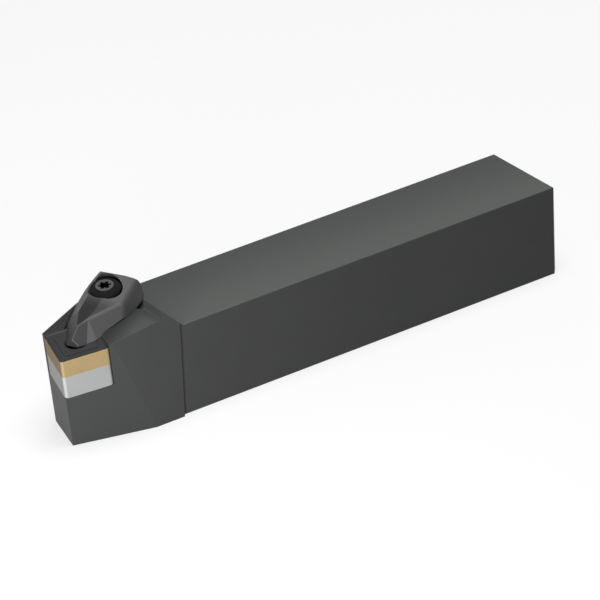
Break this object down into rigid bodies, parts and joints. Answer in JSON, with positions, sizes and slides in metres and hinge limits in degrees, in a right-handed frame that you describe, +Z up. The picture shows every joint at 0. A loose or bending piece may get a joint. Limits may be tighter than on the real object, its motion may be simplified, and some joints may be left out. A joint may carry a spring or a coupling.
{
  "type": "turning tool holder",
  "caption": "Square-shank lathe tool holder with a tilted square cutting insert, its shim, and a beak-shaped clamping claw drawn down by a six-lobe screw.",
  "frame": {"origin": "on the base face, on the shank's centre line, level with the shoulder where the head meets the shank", "axes": "+X along the shank towards its rear end, +Y away from the cutting side, +Z up, square to the base face"},
  "size_m": [0.1499, 0.0257, 0.0347],
  "materials": {
    "black_steel": "black-oxide, satin",
    "claw_steel": "burnished, satin",
    "screw_steel": "black-oxide",
    "shim_carbide": "ground",
    "insert_coating": "coated carbide, gold flanks and dark faces",
    "spring_steel": "bright"
  },
  "bodies": {
    "holder": {"holder_body": "black_steel", "shim": "shim_carbide", "shim_screw": "screw_steel", "insert": "insert_coating", "clamp_spring": "spring_steel"},
    "claw": {"clamp": "claw_steel"},
    "screw": {"clamp_screw": "screw_steel"}
  },
  "joints": [
    {"name": "claw_lift", "type": "slide", "parent": "holder", "child": "claw", "axis": [-0.1273, -0.0735, 0.9891], "range_m": [0, 0.0024], "deforming": ["clamp_spring"]},
    {"name": "screw_turn", "type": "hinge", "parent": "claw", "child": "screw", "pos_m": [-0.01007, 0.0036, 0.02889], "axis": [-0.1273, -0.0735, 0.9891], "range_deg": [0, 1080]}
  ],
  "couplings": [
    {"joint": "screw_turn", "follows": "claw_lift", "rad_per_m": 7854}
  ]
}
